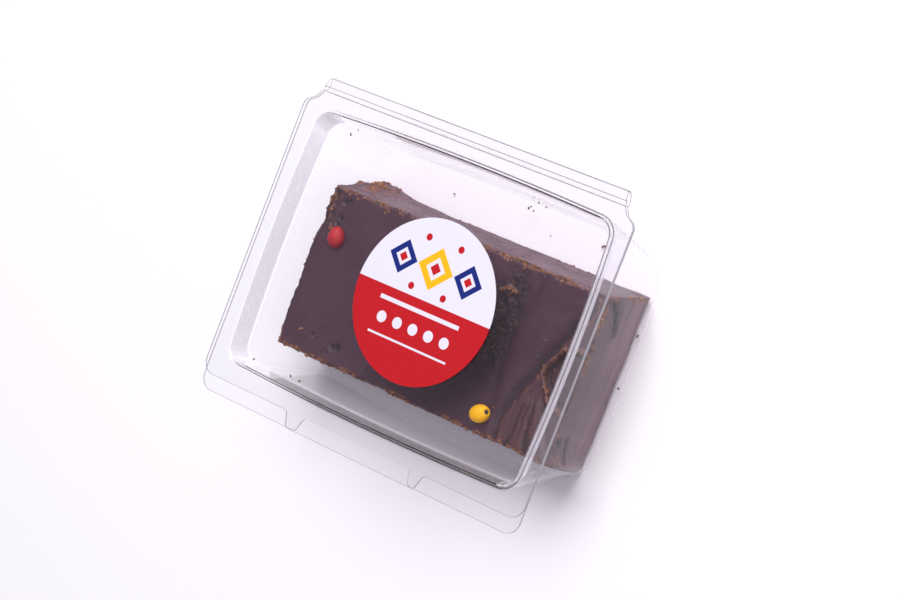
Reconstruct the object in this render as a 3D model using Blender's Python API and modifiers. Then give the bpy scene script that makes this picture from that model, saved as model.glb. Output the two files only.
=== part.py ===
"""Chocolate fudge in a clear hinged clamshell pack, lying shut on its base.

Metres, +Z up. The origin is under the middle of the pack, on the surface that
it stands on. +X runs along the hinge, and +Y points to the hinge.
"""
import math

import bmesh
import bpy
from mathutils import Vector, noise

# Driving dimensions of the pack
PACK_LENGTH = 0.1365         # along the hinge, over the lid's flange
PACK_DEPTH = 0.1110          # from the tabs' front edge to the hinge's fold
PACK_HEIGHT = 0.0460         # from the base to the top of the lid's flange
SHEET = 0.00045              # wall of the thermoformed sheet
CLEARANCE = 0.0003           # air left between pieces that lie on each other
FLANGE_AIR = 0.0005          # air between the two flanges at the mouth
FLANGE_DROOP = 0.0004        # how far the tub's flange hangs lower at its edge

# The mouth: the line where the lid's flange turns down into its sunk panel
MOUTH_HALF_X = 0.0619
MOUTH_HALF_Y = 0.0447
MOUTH_CENTRE_Y = 0.00095
MOUTH_BOW = 0.0011           # how far each side bows out at its middle
MOUTH_CORNER = 0.0055
PANEL_SINK = 0.0075          # depth of the sunk panel under the flange
PANEL_DRAFT = 0.0012
LID_LIP_RADIUS = 0.0014
PANEL_FILLET = 0.0012

# The tub, on its inner face
TUB_OFFSET = 0.0009          # tub's mouth outside the lid's mouth, so that the lid nests
TUB_LIP_RADIUS = 0.0010
TUB_DRAFT_X = 0.0029
TUB_DRAFT_Y = 0.0056
TUB_BASE_CORNER = 0.0120
FLOOR_FILLET = 0.0040

# Flanges, tabs and hinge
FLANGE_FRONT_Y = -0.0502
HINGE_LINE_Y = 0.05075
HINGE_HALF_X = 0.0626
FLANGE_CORNER = 0.0048
TAB_CORNER = 0.0018
LID_TAB_HALF_X = 0.0285      # one tab in the middle of the lid
TUB_TAB_INNER_X = 0.0234     # two tabs at the ends of the tub
TUB_FLANGE_INSET = 0.0004
TAB_SLANT = 0.0018
FOLD_AIR = 0.0003            # split between the fold's two halves, on the axis
FOLD_Z = PACK_HEIGHT - 0.0015
FOLD_START_Y = 0.0522

# Label, a paper disc on the sunk panel
LABEL_RADIUS = 0.0274
LABEL_CENTRE = (0.0007, -0.0009)
LABEL_THICKNESS = 0.00015

# Fudge: a slab cut by hand, whose hinge side slopes outward to its base
FUDGE_TOP_Z = 0.0255
FUDGE_TOP = ((-0.0588, -0.0336), (0.0570, -0.0336), (0.0573, 0.0228), (-0.0588, 0.0230))
FUDGE_BASE = ((-0.0574, -0.0348), (0.0556, -0.0344), (0.0562, 0.0264), (-0.0580, 0.0268))
FUDGE_CELLS = (36, 18, 6)
FUDGE_WALL_GAP = 0.0004      # least air between the slab and the tub

# Candies, half sunk in the fudge's top: centre, half sizes and turn in degrees
CANDIES = {
    "candy_red": ((-0.0505, 0.0066), (0.0030, 0.0037, 0.0026), 12.0, (0.62, 0.02, 0.03)),
    "candy_yellow": ((0.0279, -0.0272), (0.0036, 0.0031, 0.0026), -20.0, (0.85, 0.55, 0.01)),
}
CANDY_STAND = 0.0008         # height of a candy's middle above the fudge's top

PANEL_TOP_Z = PACK_HEIGHT - PANEL_SINK
TUB_FLANGE_Z = PACK_HEIGHT - SHEET - FLANGE_AIR

# How finely the rounded shapes are cut
SIDE_STEPS_X = 10
SIDE_STEPS_Y = 7
CORNER_STEPS = 6
LIP_STEPS = 3
FLOOR_STEPS = 3
FOLD_STEPS = 5


def clear_scene():
    for old in list(bpy.data.objects):
        bpy.data.objects.remove(old, do_unlink=True)


def make_collection(name):
    collection = bpy.data.collections.new(name)
    bpy.context.scene.collection.children.link(collection)
    return collection


def make_material(name, colour, roughness, alpha=1.0):
    material = bpy.data.materials.new(name)
    material.use_nodes = True
    shader = material.node_tree.nodes["Principled BSDF"]
    shader.inputs["Base Color"].default_value = (*colour, 1.0)
    shader.inputs["Roughness"].default_value = roughness
    shader.inputs["Metallic"].default_value = 0.0
    shader.inputs["Alpha"].default_value = alpha
    material.diffuse_color = (*colour, alpha)
    return material


def add_object(name, mesh_data, collection, material):
    piece = bpy.data.objects.new(name, mesh_data)
    collection.objects.link(piece)
    piece.data.materials.append(material)
    return piece


def bowed_ring(half_x, half_y, bow, radius, height):
    """A round-cornered rectangle with four bowed sides, counter-clockwise."""
    inner_x = half_x - bow - radius
    inner_y = half_y - bow - radius
    points = []
    for quarter in range(4):
        along, across = (inner_y, half_x) if quarter % 2 == 0 else (inner_x, half_y)
        steps = SIDE_STEPS_Y if quarter % 2 == 0 else SIDE_STEPS_X
        corner = (inner_x, inner_y) if quarter % 2 == 0 else (inner_y, inner_x)
        turn = quarter * math.pi / 2
        local = []
        for step in range(steps):
            t = 2 * step / steps - 1
            local.append((across - bow * t * t, along * t))
        for step in range(CORNER_STEPS):
            angle = math.pi / 2 * step / CORNER_STEPS
            local.append((corner[0] + radius * math.cos(angle), corner[1] + radius * math.sin(angle)))
        for x, y in local:
            points.append(Vector((
                x * math.cos(turn) - y * math.sin(turn),
                x * math.sin(turn) + y * math.cos(turn) + MOUTH_CENTRE_Y,
                height,
            )))
    return points


def rounded_outline(corners, height):
    """Arcs of the given radii in the corners of a polygon, each (x, y, radius)."""
    points = []
    count = len(corners)
    for index, (x, y, radius) in enumerate(corners):
        here = Vector((x, y))
        if radius == 0:
            points.append(Vector((x, y, height)))
            continue
        back = (Vector(corners[index - 1][:2]) - here).normalized()
        ahead = (Vector(corners[(index + 1) % count][:2]) - here).normalized()
        half_angle = back.angle(ahead) / 2
        reach = radius / math.tan(half_angle)
        start = here + back * reach
        end = here + ahead * reach
        centre = here + (back + ahead).normalized() * (radius / math.sin(half_angle))
        first = start - centre
        last = end - centre
        sweep = first.angle_signed(last)
        for step in range(CORNER_STEPS + 1):
            angle = -sweep * step / CORNER_STEPS
            spoke = Vector((
                first.x * math.cos(angle) - first.y * math.sin(angle),
                first.x * math.sin(angle) + first.y * math.cos(angle),
            ))
            points.append(Vector((centre.x + spoke.x, centre.y + spoke.y, height)))
    return points


def flange_corners(half_x, front):
    """The flange's outline: hinge line with its notches, sides, then the front edge."""
    hinge_end = (HINGE_HALF_X, HINGE_LINE_Y, 0)
    notch = (HINGE_HALF_X + 0.0017, HINGE_LINE_Y - 0.0026, 0.0016)
    shoulder = (half_x, HINGE_LINE_Y - 0.0048, 0.0032)
    right = [shoulder, notch, hinge_end]
    left = [(-x, y, radius) for x, y, radius in reversed(right)]
    return right + left + front


def lid_front(half_x):
    tab_y = -PACK_DEPTH / 2
    left = [
        (-half_x, FLANGE_FRONT_Y, FLANGE_CORNER),
        (-LID_TAB_HALF_X - TAB_SLANT / 2, FLANGE_FRONT_Y, TAB_CORNER),
        (-LID_TAB_HALF_X + TAB_SLANT / 2, tab_y, TAB_CORNER),
    ]
    return left + [(-x, y, radius) for x, y, radius in reversed(left)]


def tub_front(half_x):
    tab_y = -PACK_DEPTH / 2
    left = [
        (-half_x, tab_y, FLANGE_CORNER),
        (-TUB_TAB_INNER_X - TAB_SLANT / 2, tab_y, TAB_CORNER),
        (-TUB_TAB_INNER_X + TAB_SLANT / 2, FLANGE_FRONT_Y, TAB_CORNER),
    ]
    return left + [(-x, y, radius) for x, y, radius in reversed(left)]


def add_loop(mesh, points):
    verts = [mesh.verts.new(point) for point in points]
    edges = [mesh.edges.new((verts[i - 1], verts[i])) for i in range(len(verts))]
    return verts, edges


def loft(mesh, lower, upper):
    """Quads between two loops with the same count of points."""
    for i in range(len(lower)):
        mesh.faces.new((lower[i - 1], lower[i], upper[i], upper[i - 1]))


def quarter_turn(steps):
    """Sine and cosine at equal steps of a quarter turn, without its start."""
    for step in range(1, steps + 1):
        angle = math.pi / 2 * step / steps
        yield math.sin(angle), math.cos(angle)


def shell_from_rings(outline, rings, fold_profile):
    """An open sheet: flange, lofted rings down to a flat panel, and half of the fold."""
    mesh = bmesh.new()
    outer_verts, outer_edges = add_loop(mesh, outline)
    previous, inner_edges = add_loop(mesh, rings[0])
    bmesh.ops.triangle_fill(
        mesh, edges=outer_edges + inner_edges, use_beauty=True, normal=Vector((0, 0, 1)))
    for ring in rings[1:]:
        verts = add_loop(mesh, ring)[0]
        loft(mesh, previous, verts)
        previous = verts
    mesh.faces.new(previous)
    hinge_ends = [vert for vert in outer_verts if abs(vert.co.y - HINGE_LINE_Y) < 1e-6]
    hinge_ends.sort(key=lambda vert: vert.co.x)
    for y, z in fold_profile:
        reach = (y - HINGE_LINE_Y) * 0.25
        pair = [
            mesh.verts.new((-HINGE_HALF_X + reach, y, z)),
            mesh.verts.new((HINGE_HALF_X - reach, y, z)),
        ]
        mesh.faces.new((hinge_ends[0], hinge_ends[1], pair[1], pair[0]))
        hinge_ends = pair
    bmesh.ops.recalc_face_normals(mesh, faces=mesh.faces)
    mesh.faces.ensure_lookup_table()
    panel = max(mesh.faces, key=lambda face: len(face.verts))
    if panel.normal.z < 0:
        bmesh.ops.reverse_faces(mesh, faces=mesh.faces)
    mesh_data = bpy.data.meshes.new("sheet")
    mesh.to_mesh(mesh_data)
    mesh.free()
    mesh_data.shade_smooth()
    mesh_data.set_sharp_from_angle(angle=math.radians(40))
    return mesh_data


def add_sheet_thickness(piece):
    thickness = piece.modifiers.new("sheet", "SOLIDIFY")
    thickness.thickness = SHEET
    thickness.offset = -1.0
    thickness.use_even_offset = True


def build_tub(collection, material):
    """The tub: drooping flange with two tabs, round lip, drafted walls, flat floor."""
    outer_half_x = PACK_LENGTH / 2 - TUB_FLANGE_INSET
    edge_z = TUB_FLANGE_Z - FLANGE_DROOP
    outline = rounded_outline(flange_corners(outer_half_x, tub_front(outer_half_x)), edge_z)
    mouth_x = MOUTH_HALF_X + TUB_OFFSET
    mouth_y = MOUTH_HALF_Y + TUB_OFFSET
    corner = MOUTH_CORNER + TUB_OFFSET
    lip = TUB_LIP_RADIUS
    rings = [bowed_ring(mouth_x + lip, mouth_y + lip, MOUTH_BOW, corner + lip, TUB_FLANGE_Z)]
    for sine, cosine in quarter_turn(LIP_STEPS):
        out = lip * (1 - sine)
        rings.append(bowed_ring(
            mouth_x + out, mouth_y + out, MOUTH_BOW, corner + out, TUB_FLANGE_Z - lip * (1 - cosine)))
    base_x = mouth_x - TUB_DRAFT_X
    base_y = mouth_y - TUB_DRAFT_Y
    fillet_z = SHEET + FLOOR_FILLET
    rings.append(bowed_ring(base_x, base_y, MOUTH_BOW, TUB_BASE_CORNER, fillet_z))
    for sine, cosine in quarter_turn(FLOOR_STEPS):
        inward = FLOOR_FILLET * (1 - cosine)
        rings.append(bowed_ring(
            base_x - inward, base_y - inward, MOUTH_BOW,
            TUB_BASE_CORNER - inward, fillet_z - FLOOR_FILLET * sine))
    fold = [(HINGE_LINE_Y + 0.0006, edge_z - 0.0008), (FOLD_START_Y, edge_z - 0.0011)]
    reach = PACK_DEPTH / 2 - SHEET - FOLD_START_Y
    rise = FOLD_Z - FOLD_AIR / 2 - fold[-1][1]
    for sine, cosine in quarter_turn(FOLD_STEPS):
        fold.append((FOLD_START_Y + reach * sine, fold[1][1] + rise * (1 - cosine)))
    tub = add_object("tub", shell_from_rings(outline, rings, fold), collection, material)
    add_sheet_thickness(tub)
    return tub


def build_lid(collection, material):
    """The lid: flat flange with one tab, sunk panel, and the upper half of the fold."""
    half_x = PACK_LENGTH / 2
    outline = rounded_outline(flange_corners(half_x, lid_front(half_x)), PACK_HEIGHT)
    lip = LID_LIP_RADIUS
    rings = [bowed_ring(
        MOUTH_HALF_X + lip, MOUTH_HALF_Y + lip, MOUTH_BOW, MOUTH_CORNER + lip, PACK_HEIGHT)]
    for sine, cosine in quarter_turn(LIP_STEPS):
        out = lip * (1 - sine)
        rings.append(bowed_ring(
            MOUTH_HALF_X + out, MOUTH_HALF_Y + out, MOUTH_BOW,
            MOUTH_CORNER + out, PACK_HEIGHT - lip * (1 - cosine)))
    fillet_z = PANEL_TOP_Z + PANEL_FILLET
    base_x = MOUTH_HALF_X - PANEL_DRAFT
    base_y = MOUTH_HALF_Y - PANEL_DRAFT
    rings.append(bowed_ring(base_x, base_y, MOUTH_BOW, MOUTH_CORNER, fillet_z))
    for sine, cosine in quarter_turn(LIP_STEPS):
        inward = PANEL_FILLET * (1 - cosine)
        rings.append(bowed_ring(
            base_x - inward, base_y - inward, MOUTH_BOW,
            MOUTH_CORNER - inward, fillet_z - PANEL_FILLET * sine))
    groove = SHEET
    fold = [
        (HINGE_LINE_Y + 0.0004, PACK_HEIGHT - groove),
        (FOLD_START_Y - 0.0004, PACK_HEIGHT - groove),
        (FOLD_START_Y, PACK_HEIGHT),
    ]
    reach = PACK_DEPTH / 2 - FOLD_START_Y
    drop = PACK_HEIGHT - FOLD_Z - FOLD_AIR / 2
    for sine, cosine in quarter_turn(FOLD_STEPS):
        fold.append((FOLD_START_Y + reach * sine, PACK_HEIGHT - drop * (1 - cosine)))
    lid = add_object("lid", shell_from_rings(outline, rings, fold), collection, material)
    add_sheet_thickness(lid)
    return lid


def build_label(collection, material):
    """The round paper label, stuck on the sunk panel."""
    bpy.ops.mesh.primitive_cylinder_add(
        vertices=64, radius=LABEL_RADIUS, depth=LABEL_THICKNESS,
        location=(*LABEL_CENTRE, PANEL_TOP_Z + CLEARANCE + LABEL_THICKNESS / 2))
    label = bpy.context.active_object
    label.name = "label"
    for owner in list(label.users_collection):
        owner.objects.unlink(label)
    collection.objects.link(label)
    label.data.materials.append(material)
    return label


def smooth_step(value, low, high):
    t = min(max((value - low) / (high - low), 0.0), 1.0)
    return t * t * (3 - 2 * t)


def drag_relief(x, y):
    """Height of the marks that a spatula dragged across the right part of the top."""
    across = x - 0.41 * y
    fade = smooth_step(x, 0.026, 0.034)
    valley = -0.0009 * math.exp(-((across - 0.0450) / 0.0014) ** 2)
    crest = 0.0009 * math.exp(-((across - 0.0485) / 0.0020) ** 2)
    swell = 0.0004 * math.sin((across - 0.030) / 0.0045)
    curl = math.hypot(x - 0.0528, y + 0.0065)
    hollow = -0.0011 * (1 - smooth_step(curl, 0.0066, 0.0084))
    return fade * (valley + crest + swell) + hollow


def tub_reach(height):
    """Half-length, half-width and corner radius of the tub's inner face at a height."""
    base = (MOUTH_HALF_X + TUB_OFFSET - TUB_DRAFT_X, MOUTH_HALF_Y + TUB_OFFSET - TUB_DRAFT_Y)
    fillet_z = SHEET + FLOOR_FILLET
    rise = max(height - fillet_z, 0) / (TUB_FLANGE_Z - TUB_LIP_RADIUS - fillet_z)
    sunk = min(max(fillet_z - height, 0), FLOOR_FILLET)
    inward = FLOOR_FILLET - math.sqrt(FLOOR_FILLET ** 2 - sunk ** 2)
    half_x = base[0] + TUB_DRAFT_X * rise - inward
    half_y = base[1] + TUB_DRAFT_Y * rise - inward
    return half_x - MOUTH_BOW, half_y - MOUTH_BOW, TUB_BASE_CORNER - inward


def keep_inside_tub(point):
    """Push a point of the slab back from the tub's wall, fillet or rounded corner."""
    half_x, half_y, radius = tub_reach(point.z)
    beyond_x = abs(point.x) - (half_x - radius)
    beyond_y = abs(point.y - MOUTH_CENTRE_Y) - (half_y - radius)
    away = Vector((max(beyond_x, 0), max(beyond_y, 0)))
    excess = away.length - radius + FUDGE_WALL_GAP
    if excess > 0:
        push = away.normalized() * excess
        point.x -= math.copysign(push.x, point.x)
        point.y -= math.copysign(push.y, point.y - MOUTH_CENTRE_Y)
    return point


def fudge_point(u, v, w):
    """A point of the slab, from places along it, across it and up it, each 0 to 1."""
    corners = []
    for base, top in zip(FUDGE_BASE, FUDGE_TOP):
        corners.append(Vector(base).lerp(Vector(top), w))
    near = corners[0].lerp(corners[1], u)
    far = corners[3].lerp(corners[2], u)
    flat = near.lerp(far, v)
    low = SHEET + CLEARANCE
    height = low + (FUDGE_TOP_Z - low) * w
    edge = max(abs(2 * u - 1), abs(2 * v - 1))
    rough = noise.noise(Vector((flat.x, flat.y, height)) * 160) * 0.0005
    outward = Vector((2 * u - 1, 2 * v - 1)) * rough * edge
    # The cut at the left stands proud at its foot, on the hinge side
    foot = math.exp(-(u / 0.035) ** 2) * smooth_step(v, 0.8, 1.0)
    outward.y += 0.0028 * foot * (1 - smooth_step(w, 0.35, 0.75))
    # The left end bellies out, and the right end's near top corner is drawn out
    outward.x -= 0.0012 * math.sin(math.pi * v) * (1 - u) ** 8
    outward.x += 0.0028 * math.exp(-(v / 0.08) ** 2) * w * u ** 12
    if w == 1:
        height += drag_relief(flat.x, flat.y)
        height += noise.noise(Vector((flat.x, flat.y, 0)) * 60) * 0.0003
        height -= 0.0007 * (edge == 1)
        outward *= 0.8
    if w == 0 and edge == 1:
        height += 0.0012
    return keep_inside_tub(Vector((flat.x + outward.x, flat.y + outward.y, height)))


def build_fudge(collection, material):
    """The slab: a cut cube whose points are moved to the hand-cut shape."""
    mesh = bmesh.new()
    bmesh.ops.create_cube(mesh, size=1.0)
    for axis, cells in enumerate(FUDGE_CELLS):
        for cut in range(1, cells):
            place = Vector((0, 0, 0))
            normal = Vector((0, 0, 0))
            place[axis] = cut / cells - 0.5
            normal[axis] = 1
            bmesh.ops.bisect_plane(
                mesh, geom=mesh.verts[:] + mesh.edges[:] + mesh.faces[:],
                plane_co=place, plane_no=normal)
    for vert in mesh.verts:
        place = [min(max(round(part + 0.5, 6), 0), 1) for part in vert.co]
        vert.co = fudge_point(*place)
    bmesh.ops.recalc_face_normals(mesh, faces=mesh.faces)
    mesh_data = bpy.data.meshes.new("fudge")
    mesh.to_mesh(mesh_data)
    mesh.free()
    mesh_data.shade_smooth()
    mesh_data.set_sharp_from_angle(angle=math.radians(35))
    return add_object("fudge", mesh_data, collection, material)


def candy_mesh(half_sizes, margin):
    mesh = bmesh.new()
    bmesh.ops.create_uvsphere(mesh, u_segments=16, v_segments=10, radius=1.0)
    bmesh.ops.scale(mesh, vec=[half + margin for half in half_sizes], verts=mesh.verts)
    mesh_data = bpy.data.meshes.new("candy")
    mesh.to_mesh(mesh_data)
    mesh.free()
    mesh_data.shade_smooth()
    return mesh_data


def build_candy(name, fudge, collection, cutters):
    """A sugar-shelled candy and the hollow that it pressed into the fudge."""
    centre, half_sizes, turn, colour = CANDIES[name]
    height = FUDGE_TOP_Z + drag_relief(*centre) + CANDY_STAND
    shell = make_material(f"sugar_shell_{name}", colour, 0.35)
    candy = add_object(name, candy_mesh(half_sizes, 0), collection, shell)
    hollow = add_object(f"{name}_hollow", candy_mesh(half_sizes, CLEARANCE), cutters, shell)
    for piece in (candy, hollow):
        piece.location = (*centre, height)
        piece.rotation_euler = (0, 0, math.radians(turn))
    hollow.hide_render = True
    hollow.display_type = "WIRE"
    cut = fudge.modifiers.new(f"{name}_hollow", "BOOLEAN")
    cut.object = hollow
    cut.operation = "DIFFERENCE"
    cut.solver = "EXACT"
    return candy


def main():
    clear_scene()
    parts = make_collection("fudge_clamshell_pack")
    cutters = make_collection("cutters")
    clear_sheet = make_material("clear_sheet", (0.93, 0.94, 0.97), 0.08, alpha=0.25)
    paper = make_material("label_paper", (0.75, 0.12, 0.12), 0.45)
    chocolate = make_material("chocolate_fudge", (0.055, 0.032, 0.030), 0.50)
    build_tub(parts, clear_sheet)
    build_lid(parts, clear_sheet)
    build_label(parts, paper)
    fudge = build_fudge(parts, chocolate)
    for name in CANDIES:
        build_candy(name, fudge, parts, cutters)


main()
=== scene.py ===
import math
import random

import bmesh
import bpy
from mathutils import Matrix, Vector, noise


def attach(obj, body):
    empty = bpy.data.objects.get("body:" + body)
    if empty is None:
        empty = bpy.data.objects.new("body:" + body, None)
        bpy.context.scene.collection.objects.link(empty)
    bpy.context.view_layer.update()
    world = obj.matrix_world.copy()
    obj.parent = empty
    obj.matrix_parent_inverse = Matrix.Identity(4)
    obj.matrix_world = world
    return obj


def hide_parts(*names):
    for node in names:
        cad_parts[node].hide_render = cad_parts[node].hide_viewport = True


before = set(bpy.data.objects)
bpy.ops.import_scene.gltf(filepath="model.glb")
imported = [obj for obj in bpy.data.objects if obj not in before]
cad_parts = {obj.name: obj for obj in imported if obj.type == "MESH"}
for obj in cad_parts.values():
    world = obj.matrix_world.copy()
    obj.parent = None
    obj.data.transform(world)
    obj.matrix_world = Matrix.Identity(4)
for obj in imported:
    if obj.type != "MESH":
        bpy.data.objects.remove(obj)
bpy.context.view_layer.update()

# The studio
# The pack lies on a sheet of white paper under soft lamps, seen by a long lens from above its
# right end. The hinge side's lamp is the brighter one, so the shadow falls to the tab side.

CAMERA_PLACE = Vector((0.4954, 0.04945, 0.7435))
PICTURE_RIGHT = Vector((0.75741, 0.35915, -0.54529))
PICTURE_UP = Vector((-0.32484, 0.93171, 0.16245))
CAMERA_LENS_MM = 108.245
PAPER_HALF_SIDE = 3.0
PAPER_GAP = 0.00006          # so that the tub's clear floor doesn't lie in the paper's own plane


def deselect_all():
    if bpy.context.mode != "OBJECT":
        bpy.ops.object.mode_set(mode="OBJECT")
    bpy.ops.object.select_all(action="DESELECT")


def linear(code):
    """A colour from its sRGB hex code, with full alpha."""
    colour = []
    for start in (1, 3, 5):
        part = int(code[start:start + 2], 16) / 255
        colour.append(part / 12.92 if part <= 0.04045 else ((part + 0.055) / 1.055) ** 2.4)
    return colour + [1.0]


def add_node(tree, kind, inputs=(), **settings):
    """A shader node with its settings, its inputs set to values, or fed by sockets or nodes."""
    made = tree.nodes.new("ShaderNode" + kind)
    for name, value in settings.items():
        setattr(made, name, value)
    for name, value in dict(inputs).items():
        if isinstance(value, bpy.types.Node):
            value = value.outputs[0]
        if isinstance(value, bpy.types.NodeSocket):
            tree.links.new(value, made.inputs[name])
        else:
            made.inputs[name].default_value = value
    return made


def new_material(name):
    """An empty node material, and its tree."""
    material = bpy.data.materials.new(name)
    material.use_nodes = True
    material.node_tree.nodes.clear()
    return material, material.node_tree


def mottled_material(name, swings, detail, low_code, high_code, finish):
    """A material of two near shades, mottled by a noise with a number of swings a metre."""
    material, tree = new_material(name)
    coordinates = add_node(tree, "TexCoord").outputs["Object"]
    mottle = add_node(tree, "TexNoise", {"Vector": coordinates, "Scale": swings, "Detail": detail})
    tone = add_node(tree, "Mix", {
        0: mottle, 6: linear(low_code), 7: linear(high_code)}, data_type="RGBA")
    surface = add_node(tree, "BsdfPrincipled", {"Base Color": tone.outputs[2], **finish})
    add_node(tree, "OutputMaterial", {"Surface": surface})
    return material


scene = bpy.context.scene
scene.view_settings.view_transform = "Standard"
scene.cycles.max_bounces = 24
scene.cycles.transmission_bounces = 20
scene.cycles.glossy_bounces = 8
scene.cycles.transparent_max_bounces = 32
scene.cycles.caustics_reflective = False
scene.cycles.caustics_refractive = False

deselect_all()
bpy.ops.object.camera_add(location=CAMERA_PLACE)
camera = bpy.context.object
camera.name = "camera"
towards_lens = PICTURE_RIGHT.cross(PICTURE_UP)
turn = Matrix((PICTURE_RIGHT, PICTURE_UP, towards_lens)).transposed()
camera.matrix_world = Matrix.Translation(CAMERA_PLACE) @ turn.to_4x4()
camera.data.lens = CAMERA_LENS_MM
camera.data.sensor_width = 36.0
camera.data.clip_start = 0.01
scene.camera = camera


def add_lamp(name, place, side, power, colour):
    """A square soft box that looks at the pack."""
    bpy.ops.object.light_add(type="AREA", location=place)
    lamp = bpy.context.object
    lamp.name = name
    lamp.rotation_euler = (-Vector(place)).to_track_quat("-Z", "Y").to_euler()
    lamp.data.size = side
    lamp.data.energy = power
    lamp.data.color = linear(colour)[:3]


add_lamp("lamp_hinge_side", (0.02, 0.86, 1.08), 1.15, 21.0, "#fffefd")
add_lamp("lamp_right", (1.05, 0.10, 1.15), 0.70, 4.5, "#fdfcff")

world = bpy.data.worlds.new("studio_room")
world.use_nodes = True
room = world.node_tree
room.nodes.clear()
room_light = add_node(room, "Background", {"Color": linear("#f5effc"), "Strength": 0.37})
add_node(room, "OutputWorld", {"Surface": room_light})
scene.world = world

# Matt white paper, smooth enough to show no grain from here
paper = mottled_material("studio_paper", 900.0, 2.0, "#f5f4f8", "#f9f8fb", {
    "Roughness": 0.95, "Specular IOR Level": 0.1})
bpy.ops.mesh.primitive_plane_add(size=2 * PAPER_HALF_SIDE, location=(0, 0, -PAPER_GAP))
floor = bpy.context.object
floor.name = "paper_floor"
floor.data.materials.append(paper)

# The tub
# The lower half of the pack, drawn by vacuum from clear PET sheet over a mould: flat floor,
# drafted walls with soft corners, a round lip and a flange that ends in two finger tabs.

SHEET = 0.00045
CUT_STRIP = 0.00013          # how far in from the edge the steel rule dulls the sheet
MOUTH_HALF = (0.0619, 0.0447)
MOUTH_CENTRE_Y = 0.00095
MOUTH_BOW = 0.0011
MOUTH_CORNER = 0.0055
PACK_LENGTH = 0.1365
PACK_HEIGHT = 0.0460
TAB_FRONT_Y = -0.0555
FLANGE_FRONT_Y = -0.0502
HINGE_LINE_Y = 0.05075
HINGE_HALF_X = 0.0626
FOLD_START_Y = 0.0522
FOLD_MEET_Y = 0.0550         # behind this line the two halves of the fold meet
FOLD_Z = 0.0445
FOLD_AIR = 0.0003
FOLD_DROP = 0.0011
FLANGE_CORNER = 0.0048
TAB_CORNER = 0.0018
TAB_SLANT = 0.0018
STUB = 0.0010                # flat strip outside the lip, which keeps the flange's shading flat
TUB_OFFSET = 0.0009
TUB_FLANGE_Z = 0.04505
TUB_FLANGE_DROOP = 0.0004
TUB_FLANGE_INSET = 0.0004
TUB_LIP = 0.0010
TUB_LIP_TURN = 0.94          # share of a quarter turn that the lip rolls down through
TUB_DRAFT = (0.0029, 0.0056)
TUB_BASE_CORNER = 0.0120
TUB_FILLET = 0.0040
TUB_TAB_INNER_X = 0.0234
END_WALL_HALF_Y = 0.030
FRONT_WALL_Y = -0.034
FRONT_WALL_CLEAR_Z = 0.0345  # above this the tab side's wall is hardly drawn and keeps its gloss
LIP_STEPS = 8
WALL_STEPS = 10
SIDE_STEPS = 24
CORNER_STEPS = 14


def mouth_ring(outward, radius, height, shrink=(0.0, 0.0)):
    """Points round the mouth's shape, whose sides bow, moved outward from it, at a height."""
    half = [MOUTH_HALF[axis] + outward - shrink[axis] for axis in (0, 1)]
    inner = [size - MOUTH_BOW - radius for size in half]
    points = []
    for quarter in range(4):
        across, along = (0, 1) if quarter % 2 == 0 else (1, 0)
        local = []
        for step in range(SIDE_STEPS):
            t = 2 * step / SIDE_STEPS - 1
            local.append((half[across] - MOUTH_BOW * t * t, inner[along] * t))
        for step in range(CORNER_STEPS):
            angle = math.pi / 2 * step / CORNER_STEPS
            local.append((
                inner[across] + radius * math.cos(angle), inner[along] + radius * math.sin(angle)))
        turned = Matrix.Rotation(quarter * math.pi / 2, 2)
        for spot in local:
            x, y = turned @ Vector(spot)
            points.append(Vector((x, y + MOUTH_CENTRE_Y, height)))
    return points


def lip_rings(outward, radius, height, lip, turn):
    """A flat strip of the flange, then the lip that rolls down from it into the wall."""
    rings = [mouth_ring(outward + lip + STUB, radius + lip + STUB, height)]
    for step in range(LIP_STEPS + 1):
        angle = math.pi / 2 * step / LIP_STEPS * turn
        out = lip * (1 - math.sin(angle))
        rings.append(mouth_ring(outward + out, radius + out, height - lip * (1 - math.cos(angle))))
    return rings


def fold_arc(start_z, back_y, end_z):
    """Half of the rolled fold: a quarter turn, as points (y, z), from its start to the axis."""
    arc = []
    for step in range(1, LIP_STEPS + 1):
        angle = math.pi / 2 * step / LIP_STEPS
        arc.append((
            FOLD_START_Y + (back_y - FOLD_START_Y) * math.sin(angle),
            start_z + (end_z - start_z) * (1 - math.cos(angle))))
    return arc


def rounded_corners(corners, height):
    """A closed outline through corners (x, y, radius), with an arc in each."""
    points = []
    for index, (x, y, radius) in enumerate(corners):
        here = Vector((x, y))
        back = (Vector(corners[index - 1][:2]) - here).normalized()
        ahead = (Vector(corners[(index + 1) % len(corners)][:2]) - here).normalized()
        if radius == 0:
            points.append(Vector((x, y, height)))
            continue
        half_angle = back.angle(ahead) / 2
        centre = here + (back + ahead).normalized() * (radius / math.sin(half_angle))
        first = here + back * (radius / math.tan(half_angle)) - centre
        last = here + ahead * (radius / math.tan(half_angle)) - centre
        sweep = first.angle_signed(last)
        for step in range(CORNER_STEPS + 1):
            spoke = Matrix.Rotation(-sweep * step / CORNER_STEPS, 2) @ first
            points.append(Vector((centre.x + spoke.x, centre.y + spoke.y, height)))
    return points


def flange_outline(half_x, front, height):
    """The flange: hinge line, S-shaped notches beside it, sides, then the front corners given."""
    right = [
        (half_x, HINGE_LINE_Y - 0.0048, 0.0032),
        (HINGE_HALF_X + 0.0017, HINGE_LINE_Y - 0.0026, 0.0016),
        (HINGE_HALF_X, HINGE_LINE_Y, 0),
    ]
    left = [(-x, y, radius) for x, y, radius in reversed(right)]
    front_right = [(-x, y, radius) for x, y, radius in reversed(front)]
    return rounded_corners(right + left + front + front_right, height)


def moved_inward(points, distance):
    """The points of a closed outline, each moved towards its inside by a distance."""
    moved = []
    for index, here in enumerate(points):
        run = (points[(index + 1) % len(points)] - points[index - 1]).normalized()
        moved.append(here + Vector((-run.y, run.x, 0)) * distance)
    return moved


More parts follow.
